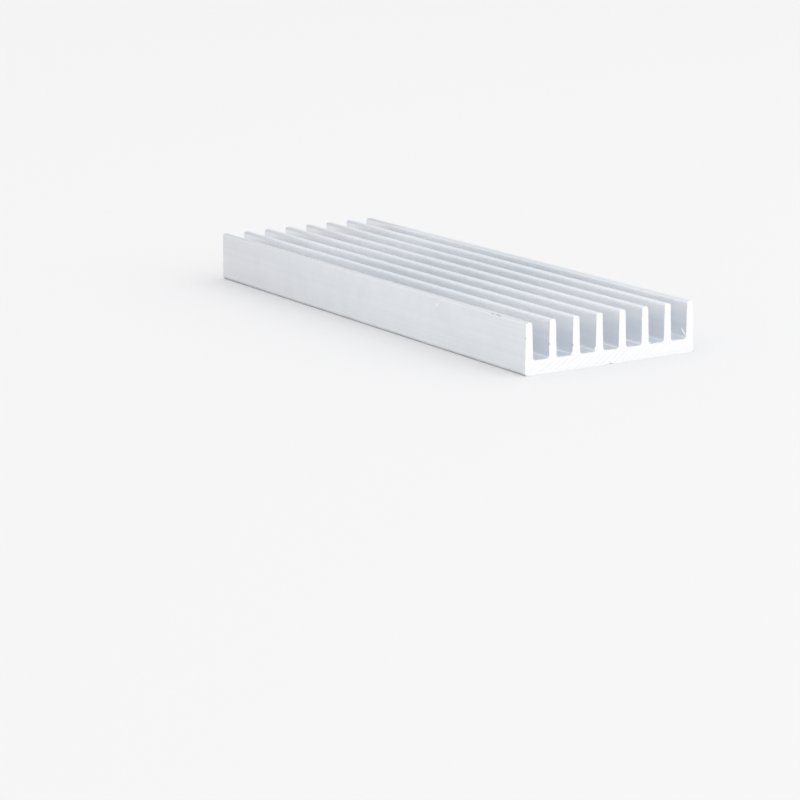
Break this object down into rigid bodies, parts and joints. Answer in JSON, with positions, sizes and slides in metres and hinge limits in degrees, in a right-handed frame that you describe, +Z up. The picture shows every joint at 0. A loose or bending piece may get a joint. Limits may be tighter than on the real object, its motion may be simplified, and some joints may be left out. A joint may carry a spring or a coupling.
{
  "type": "extruded heat sink",
  "caption": "Flat-based bar heat sink sawn from a straight aluminium extrusion, with a row of long upright tapered fins and square-cut ends.",
  "frame": {"origin": "centre of the underside, on the plane that the base rests on", "axes": "+X along the fins, +Y across the fins, +Z up from the base to the fin tips"},
  "size_m": [0.12, 0.0384, 0.01],
  "materials": {
    "mill_finish_aluminium": "bare mill-finish extrusion with fine die lines along its length, and bright sawn ends"
  },
  "bodies": {
    "root": {"heat_sink": "mill_finish_aluminium"}
  },
  "joints": []
}
